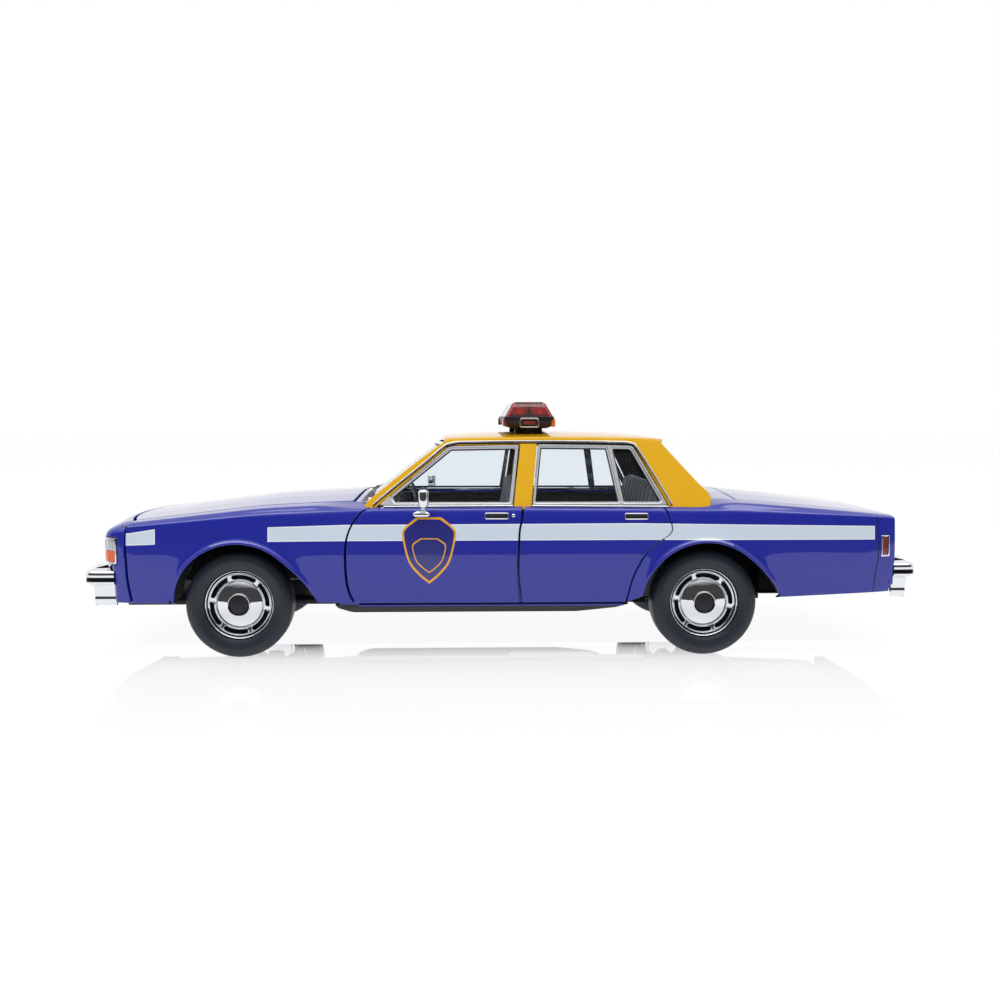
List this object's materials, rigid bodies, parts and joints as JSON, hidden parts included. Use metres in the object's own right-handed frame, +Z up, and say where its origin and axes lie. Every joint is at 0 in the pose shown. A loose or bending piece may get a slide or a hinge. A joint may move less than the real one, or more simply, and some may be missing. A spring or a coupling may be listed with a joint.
{
  "type": "die-cast scale model of a four-door police patrol car",
  "caption": "Large-scale die-cast model patrol sedan with opening front doors, hood and trunk, steering front wheels, rolling wheels and a roof light bar.",
  "frame": {"origin": "on the ground under the middle of the model's overall length and width", "axes": "+X to the rear of the car, +Y to the car's right side, +Z up"},
  "size_m": [0.2994, 0.1168, 0.0897],
  "materials": {
    "blue_paint": "deep glossy blue enamel",
    "yellow_paint": "glossy golden yellow enamel",
    "plated_plastic": "bright vacuum-plated plastic",
    "clear_plastic": "clear polished window plastic",
    "amber_lens": "transparent amber lens plastic",
    "lamp_lens": "clear fluted lamp lens plastic",
    "red_lens": "transparent red lens plastic",
    "black_plastic": "satin black moulded plastic",
    "charcoal_plastic": "matt charcoal interior plastic",
    "seat_plastic": "charcoal moulded plastic seat with paler pleats",
    "tyre_rubber": "smooth semi-matt black rubber",
    "steel_pin": "plain turned steel",
    "engine_paint": "satin dark grey"
  },
  "bodies": {
    "root": {"roof_panel": "yellow_paint", "roof_pillars_left": "yellow_paint", "roof_pillars_right": "yellow_paint", "side_sill_left": "blue_paint", "side_sill_right": "blue_paint", "rear_door_left": "blue_paint", "rear_door_right": "blue_paint", "quarter_panel_left": "blue_paint", "quarter_panel_right": "blue_paint", "front_fender_left": "blue_paint", "front_fender_right": "blue_paint", "cowl_panel": "black_plastic", "deck_panel": "blue_paint", "tail_panel": "blue_paint", "nose_panel": "blue_paint", "grille": "plated_plastic", "headlamps": "lamp_lens", "corner_lamps": "amber_lens", "front_bumper": "plated_plastic", "rear_bumper": "plated_plastic", "tail_lamps": "red_lens", "side_markers": "red_lens", "chassis_base": "black_plastic", "cabin_tub": "charcoal_plastic", "dashboard": "charcoal_plastic", "steering_wheel": "black_plastic", "radio_console": "black_plastic", "front_bench_seat": "seat_plastic", "rear_bench_seat": "seat_plastic", "windscreen": "clear_plastic", "rear_window": "clear_plastic", "rear_side_windows": "clear_plastic", "engine_block": "engine_paint", "trunk_tub": "charcoal_plastic", "exhaust_pipe": "black_plastic", "rear_axle_housing": "black_plastic", "lightbar_base": "black_plastic", "lightbar_domes": "red_lens"},
    "door_left": {"front_door_left": "blue_paint", "door_card_left": "charcoal_plastic", "door_window_left": "clear_plastic", "mirror_left": "plated_plastic"},
    "door_right": {"front_door_right": "blue_paint", "door_card_right": "charcoal_plastic", "door_window_right": "clear_plastic", "mirror_right": "plated_plastic"},
    "hood_lid": {"hood": "blue_paint"},
    "trunk_lid_body": {"trunk_lid": "blue_paint"},
    "knuckle_left": {"knuckle_left": "black_plastic"},
    "knuckle_right": {"knuckle_right": "black_plastic"},
    "tie_rod": {"tie_rod": "black_plastic"},
    "wheel_front_left": {"front_tyre_left": "tyre_rubber", "front_wheel_left": "plated_plastic"},
    "wheel_front_right": {"front_tyre_right": "tyre_rubber", "front_wheel_right": "plated_plastic"},
    "wheels_rear": {"rear_tyres": "tyre_rubber", "rear_wheels": "plated_plastic"}
  },
  "joints": [
    {"name": "door_left_hinge", "type": "hinge", "parent": "root", "child": "door_left", "pos_m": [-0.0506, -0.0519, 0.036], "axis": [0, 0, -1], "range_deg": [0, 62]},
    {"name": "door_right_hinge", "type": "hinge", "parent": "root", "child": "door_right", "pos_m": [-0.0506, 0.0519, 0.036], "axis": [0, 0, 1], "range_deg": [0, 62]},
    {"name": "hood_hinge", "type": "hinge", "parent": "root", "child": "hood_lid", "pos_m": [-0.052, 0, 0.0567], "axis": [0, 1, 0], "range_deg": [0, 55]},
    {"name": "trunk_hinge", "type": "hinge", "parent": "root", "child": "trunk_lid_body", "pos_m": [0.0851, 0, 0.0559], "axis": [0, -1, 0], "range_deg": [0, 60]},
    {"name": "steer_left", "type": "hinge", "parent": "root", "child": "knuckle_left", "pos_m": [-0.0912, -0.035, 0.01865], "axis": [0, 0, 1], "range_deg": [-20, 20]},
    {"name": "steer_right", "type": "hinge", "parent": "root", "child": "knuckle_right", "pos_m": [-0.0912, 0.035, 0.01865], "axis": [0, 0, 1], "range_deg": [-20, 20]},
    {"name": "tie_rod_pivot", "type": "hinge", "parent": "knuckle_left", "child": "tie_rod", "pos_m": [-0.0822, -0.035, 0.02065], "axis": [0, 0, 1], "range_deg": [-20, 20]},
    {"name": "front_left_spin", "type": "hinge", "parent": "knuckle_left", "child": "wheel_front_left", "pos_m": [-0.0912, -0.0436, 0.01865], "axis": [0, 1, 0], "continuous": true},
    {"name": "front_right_spin", "type": "hinge", "parent": "knuckle_right", "child": "wheel_front_right", "pos_m": [-0.0912, 0.0436, 0.01865], "axis": [0, 1, 0], "continuous": true},
    {"name": "rear_spin", "type": "hinge", "parent": "root", "child": "wheels_rear", "pos_m": [0.0725, 0, 0.01865], "axis": [0, 1, 0], "continuous": true}
  ],
  "couplings": [
    {"joint": "steer_right", "follows": "steer_left", "ratio": 1},
    {"joint": "tie_rod_pivot", "follows": "steer_left", "ratio": -1}
  ]
}
